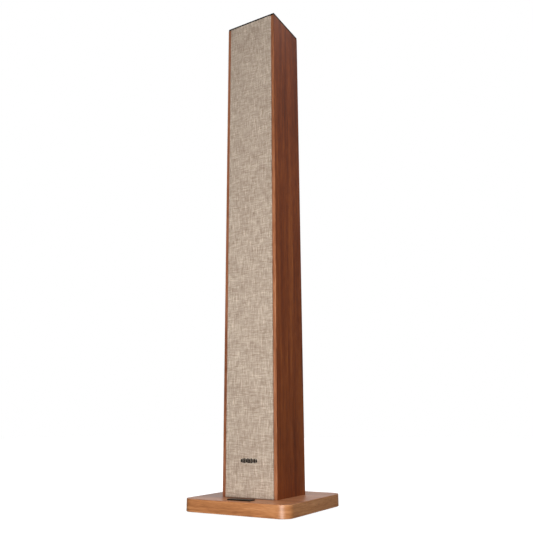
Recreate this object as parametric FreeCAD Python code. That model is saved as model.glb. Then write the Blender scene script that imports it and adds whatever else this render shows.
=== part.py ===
"""Floorstanding tower speaker: a slim square column on a rounded square plinth.

Millimetres, +Z up. The origin is on the floor, at the centre of the plinth. The front, with the
cloth grille, faces -Y, and +X is to the right of someone who looks at the front.
"""

import FreeCAD
import Part

import math
import os

Vector = FreeCAD.Vector

# ---- driving dimensions ----
OVERALL_HEIGHT = 1000.0
FOOT_HEIGHT = 2.0
BASE_SIDE = 215.0
BASE_THICK = 22.0
BASE_CORNER_R = 20.0
BASE_PLATE_X = (-22.0, 25.3)
BASE_PLATE_Y = (-92.0, -74.0)
BASE_PLATE_THICK = 1.9
COLUMN_WIDTH = 115.0
COLUMN_DEPTH = 105.0
TOP_PANEL_THICK = 4.0
WALL = 9.0                  # side and rear panels
BAFFLE_THICK = 12.0
END_BOARD_THICK = 12.0      # bottom panel and top board
TRIM_WIDTH = 6.7            # side panel edge that shows beside the grille
GRILLE_RECESS = 8.5         # depth of the baffle behind the front edges
GRILLE_PROUD = 2.0          # how far the cloth stands out of the front edges
CLOTH_THICK = 0.8
GRILLE_SIDE_GAP = 0.4
GRILLE_BOTTOM_GAP = 0.5
GRILLE_TOP_GAP = 0.6
GLUE_GAP = 0.05             # radial room around a pin or shank in a hole
RUNNING_GAP = 0.1           # radial room around a part that slides

# ---- planes worked out from them ----
BASE_TOP = FOOT_HEIGHT + BASE_THICK
COLUMN_TOP = OVERALL_HEIGHT - TOP_PANEL_THICK
HALF_W = COLUMN_WIDTH / 2
HALF_D = COLUMN_DEPTH / 2
INNER_HALF_W = HALF_W - WALL
BAFFLE_FRONT = -HALF_D + GRILLE_RECESS
BAFFLE_BACK = BAFFLE_FRONT + BAFFLE_THICK
REAR_INNER = HALF_D - WALL
REAR_OUTER = HALF_D

# ---- drivers ----
WOOFER_Z = {"upper": 880.0, "lower": 720.0}
TWEETER_Z = 800.0
BASKET_R = 38.2
BASKET_HOLE_R = 35.6
EAR_PITCH_R = 42.5
EAR_R = 6.0
FLANGE_THICK = 1.5
BOWL_FRONT_R = 35.4         # outside of the basket's bowl, at the baffle's front and at its back plate
BOWL_BACK_R = 25.7
BOWL_DEPTH = 20.0
COIL_R = 10.0               # inside of the voice coil former
SPIDER_SEAT_DEPTH = 17.0    # of the spider's ledge, behind the baffle's front
CONE_EDGE_R = 30.6
CONE_NECK_R = 10.5
TWEETER_PLATE_R = 26.0
TWEETER_PLATE_THICK = 2.5
TWEETER_HOLE_R = 18.0
TWEETER_SCREW_PITCH_R = 22.0
DRIVER_SCREW_R = 1.8

# ---- controls in the top panel ----
BUTTONS = ("power", "source", "volume_down", "volume_up", "previous", "next")
BUTTON_PITCH = 14.0
BUTTON_ROW_Y = -14.0
BUTTON_R = 5.0
BUTTON_GAP = 0.25
BUTTON_FLANGE_R = 6.2
BUTTON_FLANGE_THICK = 1.0
WINDOW_SIZE = (34.0, 12.0)
WINDOW_Y = 14.0
BOARD_SIZE = (88.0, 58.0)
BOARD_THICK = 1.6
BOARD_TOP = COLUMN_TOP - 6.8
SPACER_XY = (40.5, 25.5)
SPACER_R = 2.8

# ---- connector plate at the back ----
PLATE_Z = 130.0
PLATE_SIZE = (88.0, 150.0)
PLATE_THICK = 2.0
PLATE_CUTOUT = (70.0, 130.0)
PLATE_OUTER = REAR_OUTER + PLATE_THICK
FACE = PLATE_OUTER + 2.0    # outer face of what is set in the plate
INLET_XZ = (-20.0, 88.0)
ROCKER_XZ = (22.0, 88.0)
ROCKER_AXIS_Y = FACE - 3.0
ROCKER_PIN_R = 1.0
AUX_XZ = (-20.0, 172.0)
USB_XZ = (20.0, 172.0)
AMP_BOARD_Y = 22.0
STANDOFF_XZ = (30.6, 55.0)
STANDOFF_R = 2.2

# ---- reflex port ----
PORT_Z = 420.0
PORT_R = 20.0
PORT_WALL = 2.0
PORT_LENGTH = 52.0

# ---- wires ----
WIRE_R = 0.9
WIRE_BEND = 4.0

# ---- grille ----
GRILLE_HALF_W = HALF_W - TRIM_WIDTH - GRILLE_SIDE_GAP
GRILLE_BOTTOM = BASE_TOP + GRILLE_BOTTOM_GAP
GRILLE_TOP = COLUMN_TOP - GRILLE_TOP_GAP
GRILLE_FRONT = -HALF_D - GRILLE_PROUD
FRAME_HALF_W = GRILLE_HALF_W - CLOTH_THICK
FRAME_BOTTOM = GRILLE_BOTTOM + CLOTH_THICK
FRAME_TOP = GRILLE_TOP - CLOTH_THICK
FRAME_FRONT = GRILLE_FRONT + CLOTH_THICK
FRAME_BACK = BAFFLE_FRONT - 0.3
FRAME_BORDER = 10.8
CROSSBAR_Z = (250.0, 510.0, 640.0)
PEG_X = 43.4
PEG_Z = (60.0, 510.0, 960.0)
PEG_R = 3.0
PEG_TIP = BAFFLE_FRONT + 6.7
SOCKET_R = 4.2
SOCKET_DEPTH = 9.0

BASE_SCREW_XY = [(x, y) for x in (-30.0, 30.0) for y in (-20.0, 30.0)]


def box(x0, x1, y0, y1, z0, z1):
    """A block between those planes."""
    return Part.makeBox(x1 - x0, y1 - y0, z1 - z0, Vector(x0, y0, z0))


def block(centre_xz, size_xz, y0, y1):
    """A block seen from the front as a rectangle about centre_xz, from plane y0 to plane y1."""
    (x, z), (w, h) = centre_xz, size_xz
    return box(x - w / 2, x + w / 2, y0, y1, z - h / 2, z + h / 2)


def rod_y(x, z, radius, y0, y1):
    return Part.makeCylinder(radius, y1 - y0, Vector(x, y0, z), Vector(0, 1, 0))


def rod_x(y, z, radius, x0, x1):
    return Part.makeCylinder(radius, x1 - x0, Vector(x0, y, z), Vector(1, 0, 0))


def rod_z(x, y, radius, z0, z1):
    return Part.makeCylinder(radius, z1 - z0, Vector(x, y, z0), Vector(0, 0, 1))


def edges_along(shape, direction):
    """The straight edges that run along an axis."""
    axis = Vector(*direction)
    found = []
    for edge in shape.Edges:
        if len(edge.Vertexes) < 2 or not isinstance(edge.Curve, Part.Line):
            continue
        run = edge.Vertexes[1].Point.sub(edge.Vertexes[0].Point)
        if abs(run.dot(axis)) > 0.999 * run.Length:
            found.append(edge)
    return found


def ease(shape, plane_z, radius):
    """Rounds the edges that lie in a level plane."""
    rim = [e for e in shape.Edges if abs(e.BoundBox.ZMin - plane_z) < 1e-6
           and abs(e.BoundBox.ZMax - plane_z) < 1e-6]
    return shape.makeFillet(radius, rim)


def rounded_slab(width, depth, z0, z1, corner_r):
    slab = box(-width / 2, width / 2, -depth / 2, depth / 2, z0, z1)
    return slab.makeFillet(corner_r, edges_along(slab, (0, 0, 1)))


def turned(outline, z):
    """Turns a closed outline of (radius, y) points about the level axis at height z."""
    points = [Vector(r, y, z) for r, y in outline]
    face = Part.Face(Part.makePolygon(points + points[:1]))
    return face.revolve(Vector(0, 0, z), Vector(0, 1, 0), 360)


def turned_wire(edges, z):
    """Turns a closed loop of edges, drawn in the plane at height z, about the level axis there."""
    face = Part.Face(Part.Wire(Part.__sortEdges__(edges)))
    return face.revolve(Vector(0, 0, z), Vector(0, 1, 0), 360)


def line(a, b, z):
    return Part.LineSegment(Vector(a[0], a[1], z), Vector(b[0], b[1], z)).toShape()


def arc(a, middle, b, z):
    return Part.Arc(*[Vector(p[0], p[1], z) for p in (a, middle, b)]).toShape()


def cap_arc(rim_r, rim_y, rise, z):
    """Arc of a domed cap, from its top on the axis to its rim. Its centre is on the axis."""
    radius = (rim_r ** 2 + rise ** 2) / (2 * rise)
    centre_y = rim_y - rise + radius
    half = math.asin(rim_r / radius) / 2
    middle = (radius * math.sin(half), centre_y - radius * math.cos(half))
    return arc((0, rim_y - rise), middle, (rim_r, rim_y), z)


def pan_screw(x, z, seat_y, out, head_r, head_thick, shank_r, length):
    """A pan-head screw along Y. Its head stands on seat_y, and out is -1 at the front, 1 at the back."""
    head_end = seat_y + out * head_thick
    tip = seat_y - out * length
    head = rod_y(x, z, head_r, min(seat_y, head_end), max(seat_y, head_end))
    rim = [e for e in head.Edges if isinstance(e.Curve, Part.Circle)
           and abs(e.BoundBox.YMin - head_end) < 1e-6]
    head = head.makeFillet(head_thick * 0.55, rim)
    shank = rod_y(x, z, shank_r, min(seat_y, tip), max(seat_y, tip))
    slot_floor = head_end - out * head_thick * 0.5
    reach = head_end + out
    lo, hi = min(slot_floor, reach), max(slot_floor, reach)
    cross = block((x, z), (head_r * 1.1, 0.9), lo, hi).fuse(block((x, z), (0.9, head_r * 1.1), lo, hi))
    return head.fuse(shank).removeSplitter().cut(cross)


def ear_positions(z):
    """Screw places of a woofer at height z, on its four diagonal ears."""
    reach = EAR_PITCH_R * math.cos(math.radians(45))
    return [(sx * reach, z + sz * reach) for sx in (-1, 1) for sz in (-1, 1)]


def tweeter_screw_positions():
    reach = TWEETER_SCREW_PITCH_R * math.cos(math.radians(45))
    return [(sx * reach, TWEETER_Z + sz * reach) for sx in (-1, 1) for sz in (-1, 1)]


# ---- plinth ----

def base_board():
    board = rounded_slab(BASE_SIDE, BASE_SIDE, FOOT_HEIGHT, BASE_TOP, BASE_CORNER_R)
    board = ease(ease(board, BASE_TOP, 0.8), FOOT_HEIGHT, 0.8)
    for x, y in BASE_SCREW_XY:
        board = board.cut(rod_z(x, y, 2.8, FOOT_HEIGHT, BASE_TOP))
        board = board.cut(rod_z(x, y, 6.5, FOOT_HEIGHT, FOOT_HEIGHT + 6))
    return board


def base_feet():
    inset = 76.0
    return [Part.makeCone(8.2, 9.0, FOOT_HEIGHT, Vector(x, y, 0))
            for x in (-inset, inset) for y in (-inset, inset)]


def base_screws():
    seat = FOOT_HEIGHT + 6
    screws = []
    for x, y in BASE_SCREW_XY:
        head = rod_z(x, y, 5.2, seat - 4, seat)
        drive = rod_z(x, y, 2.0, seat - 4, seat - 1.6)
        screws.append(head.cut(drive).fuse(rod_z(x, y, 2.4, seat, BASE_TOP + 9)))
    return screws


def base_inserts():
    return [rod_z(x, y, 4.0, BASE_TOP, BASE_TOP + 10).cut(rod_z(x, y, 2.5, BASE_TOP, BASE_TOP + 10))
            for x, y in BASE_SCREW_XY]


def base_plate():
    """The thin dark plate that lies on the plinth, in front of the grille."""
    top = BASE_TOP + BASE_PLATE_THICK
    plate = box(*BASE_PLATE_X, *BASE_PLATE_Y, BASE_TOP, top)
    plate = plate.makeFillet(1.2, edges_along(plate, (0, 0, 1)))
    return ease(plate, top, 0.2)


# ---- cabinet ----

def side_panel(side):
    """side is -1 for the left panel, 1 for the right. Its front inner edge is rebated for the grille."""
    inner, outer = side * INNER_HALF_W, side * HALF_W
    panel = box(min(inner, outer), max(inner, outer), -HALF_D, HALF_D, BASE_TOP, COLUMN_TOP)
    lip = side * (HALF_W - TRIM_WIDTH)
    return panel.cut(box(min(inner, lip), max(inner, lip), -HALF_D, BAFFLE_FRONT, BASE_TOP, COLUMN_TOP))


def front_baffle():
    baffle = box(-INNER_HALF_W, INNER_HALF_W, BAFFLE_FRONT, BAFFLE_BACK, BASE_TOP, COLUMN_TOP)
    for z in WOOFER_Z.values():
        baffle = baffle.cut(rod_y(0, z, BASKET_HOLE_R, BAFFLE_FRONT, BAFFLE_BACK))
        for x, hole_z in ear_positions(z):
            baffle = baffle.cut(rod_y(x, hole_z, DRIVER_SCREW_R + GLUE_GAP, BAFFLE_FRONT, BAFFLE_BACK))
    baffle = baffle.cut(rod_y(0, TWEETER_Z, TWEETER_HOLE_R, BAFFLE_FRONT, BAFFLE_BACK))
    for x, hole_z in tweeter_screw_positions():
        baffle = baffle.cut(rod_y(x, hole_z, DRIVER_SCREW_R + GLUE_GAP, BAFFLE_FRONT, BAFFLE_BACK))
    for x in (-PEG_X, PEG_X):
        for z in PEG_Z:
            baffle = baffle.cut(rod_y(x, z, SOCKET_R + GLUE_GAP, BAFFLE_FRONT, BAFFLE_FRONT + SOCKET_DEPTH))
    return baffle


def rear_panel():
    panel = box(-INNER_HALF_W, INNER_HALF_W, REAR_INNER, REAR_OUTER, BASE_TOP, COLUMN_TOP)
    panel = panel.cut(block((0, PLATE_Z), PLATE_CUTOUT, REAR_INNER, REAR_OUTER))
    panel = panel.cut(rod_y(0, PORT_Z, PORT_R + PORT_WALL + GLUE_GAP, REAR_INNER, REAR_OUTER))
    for x, z in plate_screw_positions():
        panel = panel.cut(rod_y(x, z, 1.6 + GLUE_GAP, REAR_INNER, REAR_OUTER))
    return panel


def end_board(z0, z1):
    return box(-INNER_HALF_W, INNER_HALF_W, BAFFLE_BACK, REAR_INNER, z0, z1)


def bottom_panel():
    panel = end_board(BASE_TOP, BASE_TOP + END_BOARD_THICK)
    for x, y in BASE_SCREW_XY:
        panel = panel.cut(rod_z(x, y, 4.0 + GLUE_GAP, BASE_TOP, BASE_TOP + 10))
    return panel


def top_board():
    """The board under the top panel, cut out for the control electronics."""
    w, d = BOARD_SIZE[0] + 2, BOARD_SIZE[1] + 2
    return end_board(COLUMN_TOP - END_BOARD_THICK, COLUMN_TOP).cut(
        box(-w / 2, w / 2, -d / 2, d / 2, COLUMN_TOP - END_BOARD_THICK, COLUMN_TOP))


def window_braces():
    """Two boards that stiffen the column, each with a window for the wires."""
    braces = []
    for z in (600.0, 300.0):
        brace = end_board(z, z + WALL)
        braces.append(brace.cut(box(-32, 32, -18, 38, z, z + WALL)))
    return braces


# ---- grille ----

def grille_frame():
    frame = box(-FRAME_HALF_W, FRAME_HALF_W, FRAME_FRONT, FRAME_BACK, FRAME_BOTTOM, FRAME_TOP)
    inner_w = FRAME_HALF_W - FRAME_BORDER
    frame = frame.cut(box(-inner_w, inner_w, FRAME_FRONT, FRAME_BACK,
                          FRAME_BOTTOM + FRAME_BORDER, FRAME_TOP - FRAME_BORDER))
    for z in CROSSBAR_Z:
        frame = frame.fuse(box(-inner_w, inner_w, FRAME_FRONT + 2, FRAME_BACK, z - 5, z + 5))
    for x in (-PEG_X, PEG_X):
        for z in PEG_Z:
            frame = frame.cut(rod_y(x, z, PEG_R + GLUE_GAP, FRAME_BACK - 5, FRAME_BACK))
    return frame.removeSplitter()


def grille_cloth():
    """Speaker cloth over the front of the frame, folded round its four sides."""
    back = FRAME_BACK - 0.7
    front = box(-GRILLE_HALF_W, GRILLE_HALF_W, GRILLE_FRONT, FRAME_FRONT, GRILLE_BOTTOM, GRILLE_TOP)
    front_rim = [e for e in front.Edges if abs(e.BoundBox.YMax - GRILLE_FRONT) < 1e-6]
    panels = [front.makeFillet(0.7, front_rim)]
    for near, far in ((-GRILLE_HALF_W, -FRAME_HALF_W), (FRAME_HALF_W, GRILLE_HALF_W)):
        panels.append(box(near, far, FRAME_FRONT, back, GRILLE_BOTTOM, GRILLE_TOP))
    for low, high in ((GRILLE_BOTTOM, FRAME_BOTTOM), (FRAME_TOP, GRILLE_TOP)):
        panels.append(box(-FRAME_HALF_W, FRAME_HALF_W, FRAME_FRONT, back, low, high))
    return panels


def grille_pegs():
    pegs = []
    for x in (-PEG_X, PEG_X):
        for z in PEG_Z:
            peg = rod_y(x, z, PEG_R, FRAME_BACK - 5, PEG_TIP)
            tip = [e for e in peg.Edges if isinstance(e.Curve, Part.Circle)
                   and abs(e.BoundBox.YMin - PEG_TIP) < 1e-6]
            pegs.append(peg.makeFillet(0.9, tip))
    return pegs


def grille_sockets():
    """Rubber cups in the baffle that grip the pegs."""
    return [rod_y(x, z, SOCKET_R, BAFFLE_FRONT, BAFFLE_FRONT + SOCKET_DEPTH).cut(
            rod_y(x, z, PEG_R + RUNNING_GAP, BAFFLE_FRONT, BAFFLE_FRONT + SOCKET_DEPTH - 1.5))
            for x in (-PEG_X, PEG_X) for z in PEG_Z]


def grille_mark():
    """A plain mark low on the cloth: a row of upright bars of uneven height."""
    heights = (5.4, 7.2, 8.2, 6.0, 8.2, 6.8, 8.2, 6.0, 7.2, 5.4)
    pitch, bar_width, centre_z = 3.5, 2.6, 88.0
    first = -pitch * (len(heights) - 1) / 2
    return [block((first + i * pitch, centre_z), (bar_width, h), GRILLE_FRONT - 0.6, GRILLE_FRONT)
            for i, h in enumerate(heights)]


# ---- woofers, one function a piece: depths are measured from the baffle's front face ----

def woofer_basket(z):
    """Pressed steel: flange with four ears, a windowed bowl, a ledge for the spider and a back plate."""
    front = BAFFLE_FRONT - FLANGE_THICK
    flange = rod_y(0, z, BASKET_R, front, BAFFLE_FRONT)
    for x, ear_z in ear_positions(z):
        flange = flange.fuse(rod_y(x, ear_z, EAR_R, front, BAFFLE_FRONT))
    flange = flange.cut(rod_y(0, z, 35.2, front, BAFFLE_FRONT))
    d = BAFFLE_FRONT
    wall, back = 1.2, d + BOWL_DEPTH
    bowl = turned([(BOWL_FRONT_R - wall, front), (BOWL_FRONT_R, front), (BOWL_FRONT_R, d), (BOWL_BACK_R, back),
                   (BOWL_BACK_R, back + 1.5), (12, back + 1.5), (12, back), (BOWL_BACK_R - wall, back),
                   (BOWL_FRONT_R - wall, d)], z)
    seat = d + SPIDER_SEAT_DEPTH
    ledge = turned([(22.5, seat), (26.6, seat), (26.1, seat + 1), (22.5, seat + 1)], z)
    for turn in (0, 90):
        gap = block((0, z), (120, 24), d + 4, d + 15)
        gap.rotate(Vector(0, 0, z), Vector(0, 1, 0), turn)
        bowl = bowl.cut(gap)
    basket = flange.fuse([bowl, ledge])
    for x, ear_z in ear_positions(z):
        basket = basket.cut(rod_y(x, ear_z, DRIVER_SCREW_R + GLUE_GAP, front, BAFFLE_FRONT))
    return basket.removeSplitter()


def woofer_motor(z):
    """Front plate, ferrite ring and yoke with its pole, stacked behind the basket."""
    d = BAFFLE_FRONT + 21.5
    front_plate = turned([(11.2, d), (26, d), (26, d + 4), (11.2, d + 4)], z)
    ferrite = turned([(13, d + 4), (28, d + 4), (28, d + 14), (13, d + 14)], z)
    yoke = turned([(0, d), (9.5, d), (9.5, d + 14), (26, d + 14), (26, d + 18), (0, d + 18)], z)
    return [front_plate, ferrite, yoke]


def woofer_surround(z):
    """Rubber half roll between the cone's edge and the basket's flange."""
    back = BAFFLE_FRONT - FLANGE_THICK
    front = back - 0.6
    r_in, r_out = 31.0, 35.4
    mid = (r_in + r_out) / 2
    roll = (r_out - r_in) / 2
    return turned_wire([
        line((28.4, back), (r_in + 0.6, back), z),
        arc((r_in + 0.6, back), (mid, back - roll + 0.6), (r_out - 0.6, back), z),
        line((r_out - 0.6, back), (37.6, back), z),
        line((37.6, back), (37.6, front), z),
        line((37.6, front), (r_out, front), z),
        arc((r_out, front), (mid, front - roll), (r_in, front), z),
        line((r_in, front), (28.4, front), z),
        line((28.4, front), (28.4, back), z)], z)


def woofer_spider(z):
    """Corrugated cloth disc that centres the voice coil."""
    back = BAFFLE_FRONT + SPIDER_SEAT_DEPTH
    inner, outer, lip = 10.5, 25.2, 22.6
    waves, steps, height, thick = 3, 36, 0.8, 0.5
    def ripple(i):
        return -height * (1 - math.cos(2 * math.pi * waves * i / steps)) / 2
    near = [(inner + (lip - inner) * i / steps, back - thick + ripple(i)) for i in range(steps + 1)]
    far = [(r, y + thick) for r, y in reversed(near)]
    return turned(near + [(outer, back - thick), (outer, back)] + far, z)


def woofer_cone(z):
    """Paper cone with a flat rim that the surround is glued to."""
    rim = BAFFLE_FRONT - FLANGE_THICK
    neck = BAFFLE_FRONT + 13.5
    thick = 0.6
    return turned([(CONE_EDGE_R, rim), (CONE_EDGE_R, rim + thick), (28.0, rim + thick),
                   (CONE_NECK_R, neck + thick), (CONE_NECK_R, neck - 0.2), (28.4, rim)], z)


def woofer_dust_cap(z):
    """Domed cap over the voice coil, glued to the front of the cone."""
    rim_y, rim_r, rise, thick = BAFFLE_FRONT + 11.2, 12.2, 4.0, 0.5
    return turned_wire([
        line((0, rim_y - rise), (0, rim_y - rise + thick), z),
        cap_arc(rim_r - thick, rim_y, rise - thick, z),
        line((rim_r - thick, rim_y), (rim_r, rim_y), z),
        cap_arc(rim_r, rim_y, rise, z)], z)


def woofer_voice_coil(z):
    """Former with its winding, which sits in the gap of the motor."""
    d = BAFFLE_FRONT
    return turned([(COIL_R, d + 13.2), (COIL_R + 0.3, d + 13.2), (COIL_R + 0.3, d + 19.5), (COIL_R + 0.8, d + 19.5),
                   (COIL_R + 0.8, d + 27.5), (COIL_R + 0.3, d + 27.5), (COIL_R + 0.3, d + 31), (COIL_R, d + 31)], z)


def driver_screws():
    screws = [pan_screw(x, ear_z, BAFFLE_FRONT - FLANGE_THICK, -1, 3.4, 1.8, DRIVER_SCREW_R, 12)
              for z in WOOFER_Z.values() for x, ear_z in ear_positions(z)]
    seat = BAFFLE_FRONT - TWEETER_PLATE_THICK
    return screws + [pan_screw(x, z, seat, -1, 3.0, 1.6, DRIVER_SCREW_R, 12)
                     for x, z in tweeter_screw_positions()]


# ---- tweeter ----

def tweeter_faceplate():
    front = BAFFLE_FRONT - TWEETER_PLATE_THICK
    back = BAFFLE_FRONT
    plate = turned([(19, front), (TWEETER_PLATE_R - 0.8, front), (TWEETER_PLATE_R, front + 0.8),
                    (TWEETER_PLATE_R, back), (17.3, back), (17.3, back - 0.5), (15.2, back - 0.5)], TWEETER_Z)
    for x, z in tweeter_screw_positions():
        plate = plate.cut(rod_y(x, z, DRIVER_SCREW_R + GLUE_GAP, front, back))
    return plate


def tweeter_dome():
    """Silk dome with its coil former."""
    rim, rise, outer, inner, z = BAFFLE_FRONT - 0.5, 3.9, 12.0, 11.7, TWEETER_Z
    back = rim + 5.5
    return turned_wire([
        line((0, rim - rise), (0, rim - rise + 0.4), z),
        cap_arc(inner, rim, rise - 0.4, z),
        line((inner, rim), (inner, back), z),
        line((inner, back), (outer, back), z),
        line((outer, back), (outer, rim), z),
        cap_arc(outer, rim, rise, z)], z)


def tweeter_surround():
    """Small half roll, clamped under the faceplate."""
    back, front, z = BAFFLE_FRONT - 0.1, BAFFLE_FRONT - 0.45, TWEETER_Z
    return turned_wire([
        line((12.1, front), (12.1, back), z),
        line((12.1, back), (12.6, back), z),
        arc((12.6, back), (13.6, back - 1.0), (14.6, back), z),
        line((14.6, back), (17.1, back), z),
        line((17.1, back), (17.1, front), z),
        line((17.1, front), (14.95, front), z),
        arc((14.95, front), (13.6, front - 1.2), (12.25, front), z),
        line((12.25, front), (12.1, front), z)], z)


def tweeter_motor():
    """Ring plate on a cup with a magnet slug in the middle."""
    d, z = BAFFLE_FRONT, TWEETER_Z
    ring = turned([(12.6, d), (17.5, d), (17.5, d + 2.5), (12.6, d + 2.5)], z)
    cup = turned([(15.5, d + 2.5), (17.5, d + 2.5), (17.5, d + 13), (0, d + 13), (0, d + 11), (15.5, d + 11)], z)
    slug = rod_y(0, z, 11.3, d, d + 11)
    return [ring, cup, slug]


# ---- top panel and controls ----

def button_x(name):
    return BUTTON_PITCH * (BUTTONS.index(name) - (len(BUTTONS) - 1) / 2)


def top_panel():
    panel = rounded_slab(COLUMN_WIDTH, COLUMN_DEPTH, COLUMN_TOP, OVERALL_HEIGHT, 1.5)
    panel = ease(panel, OVERALL_HEIGHT, 0.3)
    for name in BUTTONS:
        panel = panel.cut(rod_z(button_x(name), BUTTON_ROW_Y, BUTTON_R + BUTTON_GAP, COLUMN_TOP, OVERALL_HEIGHT))
    w, d = WINDOW_SIZE
    return panel.cut(box(-w / 2, w / 2, WINDOW_Y - d / 2, WINDOW_Y + d / 2, COLUMN_TOP, OVERALL_HEIGHT))


def display_window():
    w, d = WINDOW_SIZE[0] / 2 - 0.1, WINDOW_SIZE[1] / 2 - 0.1
    return box(-w, w, WINDOW_Y - d, WINDOW_Y + d, COLUMN_TOP, OVERALL_HEIGHT)


def button(name):
    """Cap with a retaining flange under the panel and a shallow dish on top."""
    x = button_x(name)
    cap = rod_z(x, BUTTON_ROW_Y, BUTTON_R, COLUMN_TOP, OVERALL_HEIGHT)
    flange = rod_z(x, BUTTON_ROW_Y, BUTTON_FLANGE_R, COLUMN_TOP - BUTTON_FLANGE_THICK, COLUMN_TOP)
    dish_r = 22.0
    dish = Part.makeSphere(dish_r, Vector(x, BUTTON_ROW_Y, OVERALL_HEIGHT + dish_r - 0.4))
    return cap.fuse(flange).removeSplitter().cut(dish)


def control_board():
    w, d = BOARD_SIZE
    board = box(-w / 2, w / 2, -d / 2, d / 2, BOARD_TOP - BOARD_THICK, BOARD_TOP)
    for x in (-SPACER_XY[0], SPACER_XY[0]):
        for y in (-SPACER_XY[1], SPACER_XY[1]):
            board = board.cut(rod_z(x, y, 1.5, BOARD_TOP - BOARD_THICK, BOARD_TOP))
    return board


def control_spacers():
    return [rod_z(x, y, SPACER_R, BOARD_TOP, COLUMN_TOP)
            for x in (-SPACER_XY[0], SPACER_XY[0]) for y in (-SPACER_XY[1], SPACER_XY[1])]


def control_switches():
    """One tact switch under each button."""
    switches = []
    for name in BUTTONS:
        x = button_x(name)
        case = box(x - 3, x + 3, BUTTON_ROW_Y - 3, BUTTON_ROW_Y + 3, BOARD_TOP, BOARD_TOP + 3.2)
        switches.append(case.fuse(rod_z(x, BUTTON_ROW_Y, 1.6, BOARD_TOP + 3.2, BOARD_TOP + 5.0)))
    return switches


def display_module():
    return box(-16, 16, WINDOW_Y - 5.5, WINDOW_Y + 5.5, BOARD_TOP, BOARD_TOP + 6)


# ---- connector plate ----

def plate_screw_positions():
    w, h = PLATE_SIZE[0] / 2 - 4.5, PLATE_SIZE[1] / 2 - 5
    return [(sx * w, PLATE_Z + dz) for sx in (-1, 1) for dz in (-h, 0, h)]


def amp_plate():
    plate = block((0, PLATE_Z), PLATE_SIZE, REAR_OUTER, PLATE_OUTER)
    plate = plate.makeFillet(4, edges_along(plate, (0, 1, 0)))
    for x, z in plate_screw_positions():
        plate = plate.cut(rod_y(x, z, 1.8, REAR_OUTER, PLATE_OUTER))
    plate = plate.cut(block(INLET_XZ, (20.4, 12.4), REAR_OUTER, PLATE_OUTER))
    plate = plate.cut(block(ROCKER_XZ, (13.4, 19.4), REAR_OUTER, PLATE_OUTER))
    plate = plate.cut(block(USB_XZ, (14.9, 7.4), REAR_OUTER, PLATE_OUTER))
    return plate.cut(rod_y(*AUX_XZ, 3.1, REAR_OUTER, PLATE_OUTER))


def amp_plate_screws():
    return [pan_screw(x, z, PLATE_OUTER, 1, 3.0, 1.7, 1.6, 11) for x, z in plate_screw_positions()]


def amp_standoffs():
    return [rod_y(sx * STANDOFF_XZ[0], PLATE_Z + sz * STANDOFF_XZ[1], STANDOFF_R,
                  AMP_BOARD_Y + BOARD_THICK, REAR_OUTER)
            for sx in (-1, 1) for sz in (-1, 1)]


def amp_board():
    """Amplifier board with its heat sink and two reservoir capacitors."""
    board = block((0, PLATE_Z), (66, 116), AMP_BOARD_Y, AMP_BOARD_Y + BOARD_THICK)
    sink = block((-8, 158), (36, 30), AMP_BOARD_Y - 4, AMP_BOARD_Y)
    for i in range(7):
        sink = sink.fuse(block((-24.5 + 5.5 * i, 158), (1.6, 30), AMP_BOARD_Y - 18, AMP_BOARD_Y - 4))
    cans = [rod_y(22, z, 6.2, AMP_BOARD_Y - 24, AMP_BOARD_Y) for z in (166, 150)]
    return [board, sink.removeSplitter(), *cans]


def transformer():
    """Mains transformer on the amplifier board: laminated core and bobbin."""
    y0, y1 = AMP_BOARD_Y - 34, AMP_BOARD_Y
    core = block((0, 108), (48, 40), y0 + 9, y1 - 3)
    windows = [block((sx * 12, 108), (8, 24), y0 + 9, y1 - 3) for sx in (-1, 1)]
    core = core.cut(windows[0]).cut(windows[1])
    bobbin = block((0, 108), (31.6, 23.6), y0, y1).cut(block((0, 108), (16.2, 40), y0 + 9, y1 - 3))
    for sx in (-1, 1):
        outside = block((sx * 20, 108), (8.4, 40), y0, y1)
        bobbin = bobbin.cut(outside)
    return [core, bobbin]


def mains_inlet():
    """Two-pin mains socket: flange, body with an oblong cavity, and two pins."""
    x, z = INLET_XZ
    socket_half_w, socket_r, floor = 7.9, 4.1, FACE - 12
    shell = block(INLET_XZ, (26, 17), PLATE_OUTER, FACE)
    shell = shell.makeFillet(2, edges_along(shell, (0, 1, 0)))
    shell = shell.fuse(block(INLET_XZ, (20, 12), FACE - 18, PLATE_OUTER))
    shell = shell.cut(block(INLET_XZ, (2 * (socket_half_w - socket_r), 2 * socket_r), floor, FACE))
    for sx in (-1, 1):
        shell = shell.cut(rod_y(x + sx * (socket_half_w - socket_r), z, socket_r, floor, FACE))
    for sx in (-1, 1):
        shell = shell.fuse(rod_y(x + sx * 4.3, z, 1.2, floor - 1, floor + 9))
    return shell.removeSplitter()


def rocker_pivot(radius, half_length):
    """A round bar along the axis that the rocker tips about."""
    x, z = ROCKER_XZ
    return rod_x(ROCKER_AXIS_Y, z, radius, x - half_length, x + half_length)


def rocker_bezel():
    """Frame and well of the switch, with a hole in each side wall for the rocker's pins."""
    bezel = block(ROCKER_XZ, (15, 21), PLATE_OUTER, FACE)
    bezel = bezel.makeFillet(1, edges_along(bezel, (0, 1, 0)))
    bezel = bezel.fuse(block(ROCKER_XZ, (13, 19), FACE - 14, PLATE_OUTER))
    bezel = bezel.cut(block(ROCKER_XZ, (10.6, 16.6), FACE - 12, FACE)).removeSplitter()
    return bezel.cut(rocker_pivot(ROCKER_PIN_R + RUNNING_GAP, 6.0))


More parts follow.
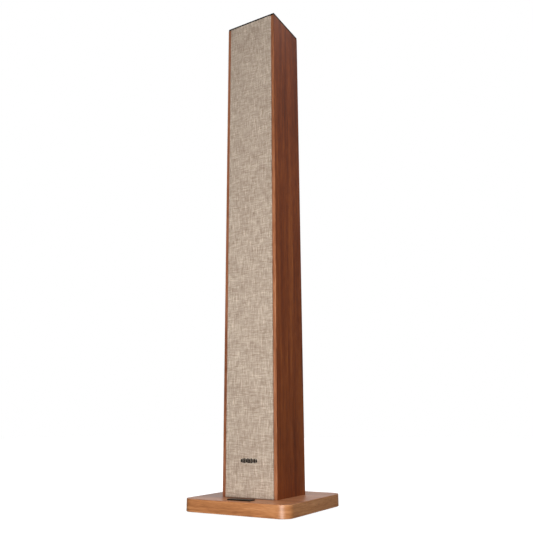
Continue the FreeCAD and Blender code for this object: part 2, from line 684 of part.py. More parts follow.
def power_rocker():
    """Rocker with two faces and a pin at each side, drawn level and then tipped to its on position."""
    x, z = ROCKER_XZ
    half_w, half_h, proud = 5.0, 7.6, 1.6
    corners = [(half_h, FACE + proud), (0, FACE - 0.2), (-half_h, FACE + proud),
               (-half_h + 1.2, FACE - 3), (-2.5, FACE - 7), (2.5, FACE - 7), (half_h - 1.2, FACE - 3)]
    points = [Vector(x - half_w, y, z + dz) for dz, y in corners]
    rocker = Part.Face(Part.makePolygon(points + points[:1])).extrude(Vector(2 * half_w, 0, 0))
    rocker.rotate(Vector(x, ROCKER_AXIS_Y, z), Vector(1, 0, 0), 8)
    return rocker.fuse(rocker_pivot(ROCKER_PIN_R, half_w + 0.9))


def aux_jack():
    """3.5 mm jack: body behind the plate, sleeve through it and a ring nut outside."""
    x, z = AUX_XZ
    body = block(AUX_XZ, (12, 9), FACE - 17, REAR_OUTER)
    sleeve = rod_y(x, z, 3.0, REAR_OUTER, FACE)
    nut = rod_y(x, z, 5.0, PLATE_OUTER, FACE)
    return body.fuse([sleeve, nut]).removeSplitter().cut(rod_y(x, z, 1.8, FACE - 14, FACE))


def usb_port():
    """USB-A socket: steel shell with a tongue in its cavity."""
    shell = block(USB_XZ, (14.5, 7.0), FACE - 15, FACE - 0.5)
    shell = shell.cut(block(USB_XZ, (12.5, 5.1), FACE - 10.5, FACE - 0.5))
    return shell.fuse(block((USB_XZ[0], USB_XZ[1] + 0.4), (11.1, 1.8), FACE - 10.5, FACE - 2)).removeSplitter()


def port_tube():
    """Reflex port: flared mouth outside the rear panel and a straight tube inside."""
    inner_end = REAR_OUTER - PORT_LENGTH
    mouth = REAR_OUTER + 2.5
    return turned([(PORT_R, inner_end), (PORT_R + PORT_WALL, inner_end), (PORT_R + PORT_WALL, REAR_OUTER),
                   (29, REAR_OUTER), (29, mouth - 1), (28, mouth), (PORT_R + 4, mouth), (PORT_R + 1.2, mouth - 1),
                   (PORT_R, mouth - 4)], PORT_Z)


def tube_along(points, radius, bend):
    """A wire along a route: straight runs joined by tangent arcs of one bend radius."""
    edges = []
    start = Vector(*points[0])
    for before, corner, after in zip(points, points[1:], points[2:]):
        corner = Vector(*corner)
        back = Vector(*before).sub(corner).normalize()
        ahead = Vector(*after).sub(corner).normalize()
        half = back.getAngle(ahead) / 2
        reach = bend / math.tan(half)
        a = corner + back * reach
        b = corner + ahead * reach
        middle = corner + (back + ahead).normalize() * (bend / math.sin(half) - bend)
        edges += [Part.LineSegment(start, a).toShape(), Part.Arc(a, middle, b).toShape()]
        start = b
    edges.append(Part.LineSegment(start, Vector(*points[-1])).toShape())
    path = Part.Wire(edges)
    run = Vector(*points[1]).sub(Vector(*points[0]))
    section = Part.Wire(Part.makeCircle(radius, Vector(*points[0]), run))
    return path.makePipeShell([section], True, False)


def wire_route(x, y, z, ends):
    """Out of the amplifier board's back face, up the trunk at (x, y) to height z, then through ends."""
    start_z = PLATE_Z + 50
    return [(x, AMP_BOARD_Y + BOARD_THICK, start_z), (x, y, start_z), (x, y, z), *ends]


def woofer_wire(x, y, z, dz):
    """A wire that stops on the outside of a woofer's bowl, dz below its centre."""
    nearest = math.hypot(x, dz) - WIRE_R
    depth = BOWL_DEPTH * (BOWL_FRONT_R - nearest) / (BOWL_FRONT_R - BOWL_BACK_R) + 0.4
    end = (x, BAFFLE_FRONT + depth, z + dz)
    return tube_along(wire_route(x, y, z + dz, [end]), WIRE_R, WIRE_BEND)


def tweeter_wire(x, y, dz):
    """A wire that stops on the back of the tweeter's cup."""
    z, cup_x, turn_y = TWEETER_Z + dz, -10.0, BAFFLE_FRONT + 24
    ends = [(x, turn_y, z), (cup_x, turn_y, z), (cup_x, BAFFLE_FRONT + 13.3, z)]
    return tube_along(wire_route(x, y, z, ends), WIRE_R, WIRE_BEND)


def speaker_wires():
    """A pair of wires from the amplifier board to each driver, up through the windows of the braces."""
    wires = []
    for j, trunk_y in enumerate((33.0, 35.6)):
        wires.append(tweeter_wire(-27.3, trunk_y, 3.0 * j))
        wires.append(woofer_wire(-25.3, trunk_y, WOOFER_Z["upper"], 3.0 * j - 22.0))
        wires.append(woofer_wire(-23.3, trunk_y, WOOFER_Z["lower"], 3.0 * j - 22.0))
    return wires


def parts():
    """Node name to its solid, or to the separate solids of one group."""
    made = {
        "base_board": base_board(),
        "base_feet": base_feet(),
        "base_screws": base_screws(),
        "base_inserts": base_inserts(),
        "base_plate": base_plate(),
        "side_panel_left": side_panel(-1),
        "side_panel_right": side_panel(1),
        "front_baffle": front_baffle(),
        "rear_panel": rear_panel(),
        "bottom_panel": bottom_panel(),
        "top_board": top_board(),
        "window_braces": window_braces(),
        "grille_frame": grille_frame(),
        "grille_cloth": grille_cloth(),
        "grille_pegs": grille_pegs(),
        "grille_sockets": grille_sockets(),
        "grille_mark": grille_mark(),
        "driver_screws": driver_screws(),
        "tweeter_faceplate": tweeter_faceplate(),
        "tweeter_dome": tweeter_dome(),
        "tweeter_surround": tweeter_surround(),
        "tweeter_motor": tweeter_motor(),
        "top_panel": top_panel(),
        "display_window": display_window(),
        "control_board": control_board(),
        "control_spacers": control_spacers(),
        "control_switches": control_switches(),
        "display_module": display_module(),
        "amp_plate": amp_plate(),
        "amp_plate_screws": amp_plate_screws(),
        "amp_standoffs": amp_standoffs(),
        "amp_board": amp_board(),
        "transformer": transformer(),
        "mains_inlet": mains_inlet(),
        "rocker_bezel": rocker_bezel(),
        "power_rocker": power_rocker(),
        "aux_jack": aux_jack(),
        "usb_port": usb_port(),
        "port_tube": port_tube(),
        "speaker_wires": speaker_wires(),
    }
    for place, z in WOOFER_Z.items():
        made[f"woofer_basket_{place}"] = woofer_basket(z)
        made[f"woofer_motor_{place}"] = woofer_motor(z)
        made[f"woofer_surround_{place}"] = woofer_surround(z)
        made[f"woofer_spider_{place}"] = woofer_spider(z)
        made[f"woofer_cone_{place}"] = woofer_cone(z)
        made[f"woofer_dust_cap_{place}"] = woofer_dust_cap(z)
        made[f"woofer_voice_coil_{place}"] = woofer_voice_coil(z)
    for name in BUTTONS:
        made[f"button_{name}"] = button(name)
    return made


def main():
    os.makedirs("parts", exist_ok=True)
    for name, shape in parts().items():
        if isinstance(shape, list):
            shape = Part.makeCompound(shape)
        bad = [s for s in shape.Solids if not s.isValid() or s.Volume <= 0]
        if bad or not shape.Solids:
            print("not a valid solid:", name, [s.Volume for s in shape.Solids])
        shape.exportStep(f"parts/{name}.step")


main()
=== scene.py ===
"""Looks of the floorstanding speaker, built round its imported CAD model. Metres, +Z up, the front faces -Y."""

import math

import bmesh
import bpy
from mathutils import Matrix, Vector


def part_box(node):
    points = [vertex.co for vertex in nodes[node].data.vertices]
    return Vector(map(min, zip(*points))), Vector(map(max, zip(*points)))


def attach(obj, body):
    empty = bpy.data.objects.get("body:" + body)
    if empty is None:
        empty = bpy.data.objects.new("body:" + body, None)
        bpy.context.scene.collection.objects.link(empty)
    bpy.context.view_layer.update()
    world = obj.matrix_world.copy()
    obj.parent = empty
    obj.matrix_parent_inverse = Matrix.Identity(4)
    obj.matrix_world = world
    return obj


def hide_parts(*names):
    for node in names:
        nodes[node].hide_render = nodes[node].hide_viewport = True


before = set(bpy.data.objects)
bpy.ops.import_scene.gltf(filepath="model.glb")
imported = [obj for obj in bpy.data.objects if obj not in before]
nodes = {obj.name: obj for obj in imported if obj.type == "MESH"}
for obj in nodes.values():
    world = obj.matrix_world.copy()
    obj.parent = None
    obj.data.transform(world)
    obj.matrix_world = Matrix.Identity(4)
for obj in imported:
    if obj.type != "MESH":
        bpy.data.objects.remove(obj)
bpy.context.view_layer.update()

CABINET = "cabinet"
GRILLE = "grille"


def srgb(r, g, b):
    """A colour of 0-255 sRGB values as the linear colour that the shader takes."""
    def linear(value):
        c = value / 255
        return c / 12.92 if c <= 0.04045 else ((c + 0.055) / 1.055) ** 2.4
    return (linear(r), linear(g), linear(b), 1.0)


# ---- a short way to write node materials ----

class Material:
    """One node material: add() makes a node, and its inputs are values or another node's output."""

    def __init__(self, name, **principled):
        self.made = bpy.data.materials.new(name)
        self.made.use_nodes = True
        self.tree = self.made.node_tree
        self.shader = self.tree.nodes["Principled BSDF"]
        self.set(self.shader, principled)
        self.object = self.add("ShaderNodeTexCoord").outputs["Object"]

    def set(self, node, inputs):
        for key, value in inputs.items():
            name = key if isinstance(key, int) else key.replace("_", " ")
            socket = node.inputs[name]
            if isinstance(value, bpy.types.NodeSocket):
                self.tree.links.new(value, socket)
            else:
                socket.default_value = value

    def add(self, kind, inputs=None, **settings):
        node = self.tree.nodes.new(kind)
        for key, value in settings.items():
            setattr(node, key, value)
        self.set(node, inputs or {})
        return node

    def math(self, operation, a, b=0.0, c=0.0, clamp=False):
        node = self.add("ShaderNodeMath", {0: a, 1: b, 2: c}, operation=operation, use_clamp=clamp)
        return node.outputs[0]

    def mapped(self, vector, scale=(1, 1, 1), location=(0, 0, 0), rotation=(0, 0, 0)):
        node = self.add("ShaderNodeMapping", {"Vector": vector, "Scale": scale, "Location": location,
                                              "Rotation": rotation})
        return node.outputs["Vector"]

    def noise(self, vector, scale, detail=2.0, roughness=0.5, distortion=0.0):
        node = self.add("ShaderNodeTexNoise", {"Vector": vector, "Scale": scale, "Detail": detail,
                                               "Roughness": roughness, "Distortion": distortion})
        return node.outputs["Fac"]

    def spread(self, value, low, high, to_low=0.0, to_high=1.0):
        node = self.add("ShaderNodeMapRange", {"Value": value, "From_Min": low, "From_Max": high,
                                               "To_Min": to_low, "To_Max": to_high})
        return node.outputs["Result"]

    def ramp(self, value, stops):
        """A colour ramp. stops are (place, colour) pairs."""
        node = self.add("ShaderNodeValToRGB", {"Fac": value})
        elements = node.color_ramp.elements
        while len(elements) < len(stops):
            elements.new(0.5)
        for element, (place, colour) in zip(elements, stops):
            element.position = place
            element.color = colour
        return node.outputs["Color"]

    def mix(self, factor, a, b, blend="MIX"):
        node = self.add("ShaderNodeMix", data_type="RGBA", blend_type=blend)
        for socket, value in zip((node.inputs[0], node.inputs[6], node.inputs[7]), (factor, a, b)):
            if isinstance(value, bpy.types.NodeSocket):
                self.tree.links.new(value, socket)
            else:
                socket.default_value = value
        return node.outputs[2]

    def split(self, vector):
        node = self.add("ShaderNodeSeparateXYZ", {"Vector": vector})
        return node.outputs

    def join(self, x=0.0, y=0.0, z=0.0):
        return self.add("ShaderNodeCombineXYZ", {"X": x, "Y": y, "Z": z}).outputs["Vector"]

    def bump(self, height, distance, strength=1.0, normal=None):
        inputs = {"Height": height, "Distance": distance, "Strength": strength}
        if normal is not None:
            inputs["Normal"] = normal
        return self.add("ShaderNodeBump", inputs).outputs["Normal"]

    def finish(self, **principled):
        self.set(self.shader, principled)
        return self.made


# ---- materials ----

# tones of each veneer: dark grain, middle, light grain, pore
# painted shade: the plinth's top is a darker copy of the veneer on its rim
PAINTED_SHADE_TOP_WOOD = (srgb(119, 67, 38), srgb(151, 95, 61), srgb(182, 126, 89), srgb(88, 47, 26))
# painted light: the plinth's rim is a lighter copy of the veneer on its top
PAINTED_LIGHT_RIM_WOOD = (srgb(136, 84, 48), srgb(176, 117, 72), srgb(206, 152, 106), srgb(100, 58, 32))
BAND_WOOD = (srgb(112, 62, 36), srgb(148, 92, 60), srgb(186, 128, 92), srgb(84, 46, 26))
# painted shade: the left front band is a darker copy of the right band's veneer
PAINTED_SHADE_BAND_WOOD = (srgb(98, 52, 31), srgb(132, 79, 52), srgb(168, 112, 80), srgb(74, 40, 23))
# painted shade: a darker, more saturated copy of the veneer for the side panels' side faces; the grain is the
# wood's own
PAINTED_SHADE_SIDE_WOOD = (srgb(77, 30, 9), srgb(116, 55, 22), srgb(151, 84, 38), srgb(57, 23, 8))


def veneer(name, along, tones, lacquer=0.3, smooth=0.34, coat=0.0):
    """Red-brown veneer under a satin lacquer. Its grain runs along the axes listed (0 = x, 1 = y, 2 = z)."""
    m = Material(name, Specular_IOR_Level=lacquer, Coat_Weight=coat, Coat_Roughness=0.34)
    dark, middle, light, pore = tones

    def grain(across, along_scale, detail, roughness=0.55, distortion=0.0, shift=0.0):
        scale = [along_scale if axis in along else across for axis in range(3)]
        return m.noise(m.mapped(m.object, scale, (shift, shift, shift)), 1.0, detail, roughness, distortion)

    bands = grain(38.0, 1.7, 3.0, 0.6, 0.4)
    streaks = grain(230.0, 6.0, 3.0, 0.6, 0.3, 11.0)
    fine = grain(700.0, 46.0, 2.0, 0.6, 0.0, 23.0)
    pores = grain(1500.0, 75.0, 1.0, 0.5, 0.0, 37.0)
    figure = m.math("MULTIPLY", bands, 0.44)
    figure = m.math("MULTIPLY_ADD", streaks, 0.28, figure)
    figure = m.math("MULTIPLY_ADD", fine, 0.28, figure)
    colour = m.ramp(figure, [(0.38, dark), (0.50, middle), (0.63, light)])
    pits = m.spread(pores, 0.60, 0.72)
    colour = m.mix(m.math("MULTIPLY", pits, 0.45), colour, pore)
    rough = m.spread(streaks, 0.3, 0.7, smooth, smooth + 0.12)
    height = m.math("SUBTRACT", m.math("MULTIPLY", fine, 0.4), pits)
    return m.finish(Base_Color=colour, Roughness=rough, Normal=m.bump(height, 0.00005))


LINEN_DARK = srgb(132, 109, 90)
LINEN_MID = srgb(181, 163, 146)
LINEN_LIGHT = srgb(228, 212, 192)


def linen(name):
    """Coarse plain weave. Each thread has its own shade, which drifts along its run, with slubs."""
    m = Material(name, Roughness=0.95, Sheen_Weight=0.1, Sheen_Roughness=0.5, Specular_IOR_Level=0.15)

    def thread(count, along, shift):
        """Shade of the thread numbered by count, at a place along it."""
        number = m.math("MULTIPLY", m.math("FLOOR", count), far_apart)
        return m.noise(m.join(number, m.math("MULTIPLY", along, run), shift), 1.0, 2.0, 0.6)

    def slubs(across_x, across_z, shift):
        """Thick places in single yarns: thin streaks, light and dark."""
        streak = m.noise(m.mapped(m.object, (across_x, 1.0, across_z), (shift, 0, shift)), 1.0, 1.0)
        return m.math("SUBTRACT", m.spread(streak, 0.60, 0.70), m.spread(streak, 0.30, 0.40, 1.0, 0.0))

    place = m.split(m.object)
    pitch, run, far_apart = 0.0012, 45.0, 17.3
    count_x = m.math("DIVIDE", place["X"], pitch)
    count_z = m.math("DIVIDE", place["Z"], pitch)
    warp = thread(count_x, place["Z"], 3.0)
    weft = thread(count_z, place["X"], 40.0)
    thread_x = m.math("SINE", m.math("MULTIPLY", count_x, math.pi))
    thread_z = m.math("SINE", m.math("MULTIPLY", count_z, math.pi))
    checker = m.math("MULTIPLY", thread_x, thread_z)
    over = m.spread(checker, -0.25, 0.25)
    shade = m.mix(over, warp, weft)
    thin, long = 560.0, 55.0
    upright = slubs(thin, long, 5.0)
    level = slubs(long, thin, 9.0)
    slub = m.math("ADD", m.math("MULTIPLY", upright, 0.13), m.math("MULTIPLY", level, 0.08))
    cloud = m.noise(m.object, 14.0, 2.0)
    shade = m.math("ADD", m.math("MULTIPLY_ADD", shade, 0.9, slub), m.math("MULTIPLY", cloud, 0.1))
    colour = m.ramp(shade, [(0.25, LINEN_DARK), (0.50, LINEN_MID), (0.75, LINEN_LIGHT)])
    # painted shade: the colour is darkened in the hollows between the thread crowns
    crowns = m.math("ABSOLUTE", checker)
    painted_gap_shade = m.spread(crowns, 0.0, 0.35, 0.72, 1.0)
    colour = m.mix(1.0, colour, m.join(painted_gap_shade, painted_gap_shade, painted_gap_shade), "MULTIPLY")
    weave = m.math("MULTIPLY_ADD", crowns, 0.8, m.math("MULTIPLY", shade, 0.6))
    return m.finish(Base_Color=colour, Normal=m.bump(weave, 0.0004))


def moulded(name, colour, roughness, grain=0.00003, specular=0.5):
    """Moulded plastic or coated metal with a fine even texture."""
    m = Material(name, Base_Color=colour, Specular_IOR_Level=specular)
    speck = m.noise(m.object, 2600.0, 2.0)
    cloud = m.noise(m.object, 30.0, 2.0)
    rough = m.spread(cloud, 0.2, 0.8, roughness - 0.05, roughness + 0.05)
    return m.finish(Roughness=rough, Normal=m.bump(speck, grain))


def metal(name, colour, roughness, stretch=(1, 1, 1)):
    """Bare or plated metal with fine drawn marks."""
    m = Material(name, Metallic=1.0)
    marks = m.noise(m.mapped(m.object, [900 * s for s in stretch]), 1.0, 3.0)
    tone = m.mix(m.spread(marks, 0.3, 0.7), [c * 0.85 for c in colour[:3]] + [1.0], colour)
    rough = m.spread(marks, 0.3, 0.7, roughness - 0.06, roughness + 0.06)
    return m.finish(Base_Color=tone, Roughness=rough, Normal=m.bump(marks, 0.00001))


def fibreboard(name):
    """Cut edge of fibreboard: pale brown with dark specks."""
    m = Material(name, Roughness=0.85)
    fibres = m.noise(m.object, 900.0, 3.0, 0.7)
    colour = m.ramp(fibres, [(0.35, srgb(120, 92, 66)), (0.6, srgb(176, 144, 108))])
    return m.finish(Base_Color=colour, Normal=m.bump(fibres, 0.0001))


def circuit(name):
    """Circuit board: green mask over faint traces."""
    m = Material(name, Roughness=0.35)
    cells = m.add("ShaderNodeTexVoronoi", {"Vector": m.object, "Scale": 160.0}, distance="MANHATTAN")
    colour = m.ramp(cells.outputs["Distance"], [(0.2, srgb(16, 74, 46)), (0.5, srgb(8, 50, 32))])
    return m.finish(Base_Color=colour)


def paper(name, colour):
    """Pressed paper with fibres."""
    m = Material(name, Roughness=0.85)
    fibres = m.noise(m.object, 800.0, 4.0, 0.7, 1.0)
    tone = m.mix(m.spread(fibres, 0.35, 0.65), [c * 0.6 for c in colour[:3]] + [1.0], colour)
    return m.finish(Base_Color=tone, Normal=m.bump(fibres, 0.0001))


def paint(node_name, material):
    mesh = nodes[node_name].data
    mesh.materials.clear()
    mesh.materials.append(material)


def paint_where(node_name, material, wanted):
    """Gives a second material to those faces of a node whose normal passes the test."""
    mesh = nodes[node_name].data
    mesh.materials.append(material)
    slot = len(mesh.materials) - 1
    for polygon in mesh.polygons:
        if wanted(polygon.normal):
            polygon.material_index = slot


def paint_nodes():
    # the side faces get the painted-shade copy of the veneer, and the front faces get the band veneer below
    upright = veneer("veneer_upright_painted_shade", (2,), PAINTED_SHADE_SIDE_WOOD)
    # painted shade: the left band takes a darker copy of the right band's veneer
    bands = {"left": veneer("veneer_band_left_painted_shade", (2,), PAINTED_SHADE_BAND_WOOD),
             "right": veneer("veneer_band_right", (2,), BAND_WOOD)}
    # the plinth's top and rim are one veneer in two tones: painted shade on the top, painted light on the rim
    level = veneer("veneer_level_painted_shade", (0,), PAINTED_SHADE_TOP_WOOD)
    painted_light_rim = veneer("veneer_rim_painted_light", (0, 1), PAINTED_LIGHT_RIM_WOOD, 0.4, 0.32, 0.36)
    satin_black = moulded("satin_black", srgb(26, 26, 27), 0.45)
    gloss_black = moulded("gloss_black", srgb(8, 8, 9), 0.2, 0.000002)
    top_black = moulded("top_black", srgb(6, 6, 6), 0.4, 0.000004, specular=0.1)
    plate_black = moulded("plate_black", srgb(8, 6, 6), 0.4, 0.000004, specular=0.25)
    coated_steel = moulded("coated_steel", srgb(24, 24, 25), 0.38)
    board = fibreboard("fibreboard")
    rubber = moulded("rubber", srgb(22, 22, 22), 0.75, 0.00006)
    zinc = metal("zinc_plate", (0.62, 0.62, 0.63, 1), 0.3)
    brass = metal("brass", (0.72, 0.52, 0.22, 1), 0.3)
    copper = metal("copper_winding", (0.72, 0.31, 0.15, 1), 0.35, (0.1, 4, 0.1))
    ferrite = metal("ferrite", (0.10, 0.10, 0.11, 1), 0.6)
    green = circuit("circuit_board")
    cone_paper = paper("cone_paper", srgb(38, 37, 36))
    amber_cloth = paper("damper_cloth", srgb(190, 150, 72))
    silk = paper("coated_silk", srgb(24, 24, 26))
    red_sheath = moulded("wire_sheath", srgb(120, 20, 16), 0.5)
    plan = {
        upright: ["side_panel_left", "side_panel_right"],
        level: ["base_board"],
        satin_black: ["front_baffle", "rear_panel", "grille_frame", "grille_pegs", "tweeter_faceplate",
                      "control_spacers", "control_switches", "display_module", "mains_inlet", "rocker_bezel",
                      "aux_jack", "port_tube"],
        top_black: ["top_panel"],
        plate_black: ["base_plate", "grille_mark"],
        gloss_black: ["display_window", "power_rocker"],
        coated_steel: ["driver_screws", "amp_plate", "amp_plate_screws", "woofer_basket_upper",
                       "woofer_basket_lower"],
        board: ["bottom_panel", "top_board", "window_braces"],
        rubber: ["base_feet", "grille_sockets", "woofer_surround_upper", "woofer_surround_lower"],
        zinc: ["base_screws", "amp_standoffs", "usb_port"],
        brass: ["base_inserts"],
        copper: ["woofer_voice_coil_upper", "woofer_voice_coil_lower"],
        ferrite: ["woofer_motor_upper", "woofer_motor_lower", "tweeter_motor", "transformer"],
        green: ["control_board", "amp_board"],
        cone_paper: ["woofer_cone_upper", "woofer_cone_lower", "woofer_dust_cap_upper",
                     "woofer_dust_cap_lower"],
        amber_cloth: ["woofer_spider_upper", "woofer_spider_lower"],
        silk: ["tweeter_dome", "tweeter_surround"],
        red_sheath: ["speaker_wires"],
    }
    for material, names in plan.items():
        for name in names:
            paint(name, material)
    for name in nodes:
        if name.startswith("button_"):
            paint(name, gloss_black)
    for side, band in bands.items():
        paint_where(f"side_panel_{side}", band, lambda normal: normal.y < -0.99)
    paint_where("base_board", painted_light_rim, lambda normal: abs(normal.z) < 0.5)


# ---- mesh helpers ----

def mesh_object(name, bm, material):
    mesh = bpy.data.meshes.new(name)
    bm.normal_update()
    bm.to_mesh(mesh)
    bm.free()
    made = bpy.data.objects.new(name, mesh)
    bpy.context.scene.collection.objects.link(made)
    mesh.materials.append(material)
    for polygon in mesh.polygons:
        polygon.use_smooth = True
    return made


def grille_cloth(material):
    """One sheet stretched over the front of the frame and wrapped round its four sides."""
    low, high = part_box("grille_cloth")
    fold = 0.0012
    depth = high.y - low.y - fold
    columns, rows = 60, 560
    width, height = high.x - low.x - 2 * fold, high.z - low.z - 2 * fold
    arc = fold * math.pi / 2

    def wrapped(s, span):
        """Place across and depth back at distance s from the sheet's middle: flat, round the fold, back."""
        over = abs(s) - span / 2
        side = math.copysign(1, s)
        if over <= 0:
            return s, 0.0
        if over < arc:
            turn = over / fold
            return side * (span / 2 + fold * math.sin(turn)), fold * (1 - math.cos(turn))
        return side * (span / 2 + fold), fold + over - arc

    def places(span, count):
        inner = [span * (i / count - 0.5) for i in range(count + 1)]
        bends = [span / 2 + arc * t for t in (0.25, 0.5, 0.75, 1.0)]
        back = [span / 2 + arc + depth * t for t in (0.33, 0.66, 1.0)]
        return [-v for v in reversed(bends + back)] + inner + bends + back

    centre_x, centre_z = (low.x + high.x) / 2, (low.z + high.z) / 2
    across, along = places(width, columns), places(height, rows)
    bm = bmesh.new()
    grid = {}
    for j, t in enumerate(along):
        z, back_z = wrapped(t, height)
        for i, s in enumerate(across):
            x, back_x = wrapped(s, width)
            if back_x > fold * 1.01 and back_z > fold * 1.01:
                continue
            y = low.y + max(back_x, back_z)
            grid[i, j] = bm.verts.new((centre_x + x, y, centre_z + z))
    for j in range(len(along) - 1):
        for i in range(len(across) - 1):
            corners = [grid.get(key) for key in ((i, j), (i + 1, j), (i + 1, j + 1), (i, j + 1))]
            if all(corners):
                bm.faces.new(corners)
    cloth = mesh_object("stretched_cloth", bm, material)
    shell = cloth.modifiers.new("thickness", "SOLIDIFY")
    shell.thickness = 0.0005
    shell.offset = -1
    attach(cloth, GRILLE)
    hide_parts("grille_cloth")
    return cloth


# ---- printed marks ----

MM = 0.001
LINE = 0.45                 # width of every printed line, in mm
BUTTON_DISH = 0.42 * MM     # depth of a button's top below its rim
SIGN_THICK = 0.16 * MM
FRAME_THICK = 0.1 * MM
INK_OVERLAP = 0.02 * MM     # how far the ink starts below the plate's face


def bar(x, y, width, height):
    """Corners of a bar about (x, y)."""
    w, h = width / 2, height / 2
    return [(x - w, y - h), (x + w, y - h), (x + w, y + h), (x - w, y + h)]


def bent_quad(outer, inner, a, b):
    """Corners of a piece of a ring, between two angles."""
    return [(outer * math.cos(a), outer * math.sin(a)), (outer * math.cos(b), outer * math.sin(b)),
            (inner * math.cos(b), inner * math.sin(b)), (inner * math.cos(a), inner * math.sin(a))]


def arc_band(radius, start, end, line=LINE):
    """A ring, or part of one, from start to end degrees."""
    steps = 24
    angles = [math.radians(start + (end - start) * i / steps) for i in range(steps + 1)]
    outer, inner = radius + line / 2, radius - line / 2
    return [bent_quad(outer, inner, a, b) for a, b in zip(angles, angles[1:])]


def outline(width, height, line=LINE):
    """Four bars round a rectangle."""
    w, h = width / 2, height / 2
    return [bar(0, h, width + line, line), bar(0, -h, width + line, line),
            bar(-w, 0, line, height - line), bar(w, 0, line, height - line)]


BUTTON_SIGNS = {
    "button_power": arc_band(1.5, 125, 415) + [bar(0, 1.3, LINE, 1.6)],
    "button_source": [bar(0, y, 2.6, LINE) for y in (-1.0, 0, 1.0)],
    "button_volume_down": [bar(0, 0, 3.0, LINE)],
    "button_volume_up": [bar(0, 0, 3.0, LINE), bar(0, 0.9, LINE, 1.2), bar(0, -0.9, LINE, 1.2)],
    "button_previous": [[(1.3, -1.4), (1.3, 1.4), (-0.9, 0)], bar(-1.4, 0, LINE, 2.8)],
    "button_next": [[(-1.3, -1.4), (0.9, 0), (-1.3, 1.4)], bar(1.4, 0, LINE, 2.8)],
}


def printed(name, shapes, place, across, up, thick, body, material):
    """Flat shapes in mm, laid on a face at a place, with their x along across and their y along up."""
    bm = bmesh.new()
    out = across.cross(up)
    for shape in shapes:
        low = [bm.verts.new(place + (across * x + up * y) * MM) for x, y in shape]
        high = [bm.verts.new(v.co + out * thick) for v in low]
        bm.faces.new(high)
        bm.faces.new(list(reversed(low)))
        for i in range(len(low)):
            j = (i + 1) % len(low)
            bm.faces.new((low[i], low[j], high[j], high[i]))
    bmesh.ops.recalc_face_normals(bm, faces=bm.faces)
    made = mesh_object(name, bm, material)
    for polygon in made.data.polygons:
        polygon.use_smooth = False
    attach(made, body)


def signs(material):
    """A sign on each button, and frames printed round the two rows of sockets."""
    right, back, above = Vector((1, 0, 0)), Vector((0, 1, 0)), Vector((0, 0, 1))
    for node, shapes in BUTTON_SIGNS.items():
        low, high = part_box(node)
        place = Vector(((low.x + high.x) / 2, (low.y + high.y) / 2, high.z - BUTTON_DISH))
        printed(node + "_sign", shapes, place, right, back, SIGN_THICK, node, material)
    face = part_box("amp_plate")[1].y - INK_OVERLAP
    frames = {"power_frame": ("mains_inlet", "rocker_bezel"), "signal_frame": ("aux_jack", "usb_port")}
    for name, framed in frames.items():
        boxes = [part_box(node) for node in framed]
        z = sum((low.z + high.z) / 2 for low, high in boxes) / len(boxes)
        printed(name, outline(72, 30), Vector((0, face, z)), -right, above, FRAME_THICK, CABINET, material)


# ---- stage, light and camera ----

ROOM_DARK = 0.01            # of the room, low down
ROOM_DIM = 0.22             # of the room, high up
ROOM_BRIGHT = 0.95          # of the wall behind and to the left
KEY_POWER = 21.6
SIDE_POWER = 11.2
OVERHEAD_POWER = 26.0
FLOOR_GLOW = 0.96


def stage():
    """A pale floor that glows for the camera only, and casts no light on the object."""
    floor_size = 12.0
    bpy.ops.mesh.primitive_plane_add(size=floor_size, location=(0, 0, 0))
    floor = bpy.context.object
    floor.name = "floor"
    m = Material("floor_paint", Roughness=0.6, Base_Color=(0.2, 0.2, 0.2, 1), Emission_Color=(1, 1, 1, 1),
                 Emission_Strength=FLOOR_GLOW)
    floor.visible_diffuse = False
    floor.visible_glossy = False
    floor.visible_shadow = False
    floor.data.materials.append(m.finish())


def area_light(name, place, target, size, power, colour=(1, 1, 1)):
    data = bpy.data.lights.new(name, "AREA")
    data.shape = "RECTANGLE"
    data.size, data.size_y = size
    data.energy = power
    data.color = colour
    light = bpy.data.objects.new(name, data)
    light.location = place
    aim = Vector(target) - Vector(place)
    light.rotation_euler = aim.to_track_quat("-Z", "Y").to_euler()
    light.visible_camera = False
    bpy.context.scene.collection.objects.link(light)


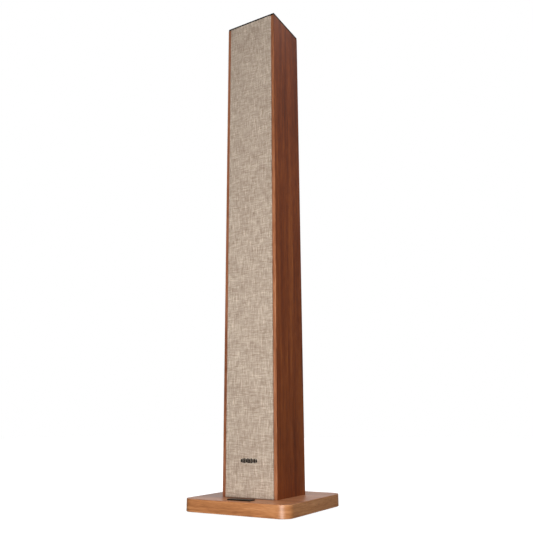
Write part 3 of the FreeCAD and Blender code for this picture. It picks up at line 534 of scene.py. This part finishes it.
def lights():
    """A white room behind the object and to its left, darker elsewhere, with three soft boxes."""
    world = bpy.data.worlds.new("soft_room")
    bpy.context.scene.world = world
    world.use_nodes = True
    tree = world.node_tree
    background = tree.nodes["Background"]
    background.inputs["Color"].default_value = (1, 1, 1, 1)
    direction = tree.nodes.new("ShaderNodeTexCoord").outputs["Generated"]

    def facing(toward, low, high, to_low, to_high):
        """A value that goes from to_low to to_high as the direction turns toward an axis."""
        along = tree.nodes.new("ShaderNodeVectorMath")
        along.operation = "DOT_PRODUCT"
        along.inputs[1].default_value = toward
        tree.links.new(direction, along.inputs[0])
        level = tree.nodes.new("ShaderNodeMapRange")
        tree.links.new(along.outputs["Value"], level.inputs["Value"])
        for name, value in (("From Min", low), ("From Max", high), ("To Min", to_low), ("To Max", to_high)):
            if isinstance(value, bpy.types.NodeSocket):
                tree.links.new(value, level.inputs[name])
            else:
                level.inputs[name].default_value = value
        return level.outputs["Result"]

    dim = facing((0, 0, 1), 0.0, 0.6, ROOM_DARK, ROOM_DIM)
    room = facing((-0.5, 0.86, 0), 0.65, 0.9, dim, ROOM_BRIGHT)
    seen = tree.nodes.new("ShaderNodeLightPath").outputs["Is Camera Ray"]
    strength = tree.nodes.new("ShaderNodeMix")
    strength.inputs[3].default_value = 1.0
    tree.links.new(seen, strength.inputs[0])
    tree.links.new(room, strength.inputs[2])
    tree.links.new(strength.outputs[0], background.inputs["Strength"])
    area_light("key", (0.44, -1.18, 0.25), (0.04, 0, 0.25), (0.7, 1.1), KEY_POWER)
    area_light("side", (0.92, -0.05, 1.7), (0, 0, 1.1), (0.7, 0.7), SIDE_POWER)
    area_light("overhead", (0, 0.5, 2.6), (0, 0.5, 0), (2.4, 2.4), OVERHEAD_POWER)


def camera():
    """A camera close to the floor at the front right, looking up a little."""
    focal_px, image_px, sensor = 614.2, 533, 36.0
    place = Vector((0.6163, -1.03517, 0.14923))
    yaw, pitch, roll = (math.radians(a) for a in (30.512, 14.52, -0.2345))
    ahead = Vector((-math.sin(yaw) * math.cos(pitch), math.cos(yaw) * math.cos(pitch), math.sin(pitch)))
    level = Vector((math.cos(yaw), math.sin(yaw), 0))
    above = level.cross(ahead)
    right = level * math.cos(roll) + above * math.sin(roll)
    up = above * math.cos(roll) - level * math.sin(roll)
    data = bpy.data.cameras.new("camera")
    data.sensor_width = sensor
    data.lens = sensor * focal_px / image_px
    data.clip_start = 0.02
    made = bpy.data.objects.new("camera", data)
    made.matrix_world = Matrix((right, up, -ahead)).transposed().to_4x4()
    made.location = place
    bpy.context.scene.collection.objects.link(made)
    bpy.context.scene.camera = made
    bpy.context.scene.view_settings.view_transform = "Standard"


camera()
lights()
stage()
paint_nodes()
grille_cloth(linen("linen"))
signs(moulded("printed_ink", srgb(176, 176, 172), 0.6, 0.000002))
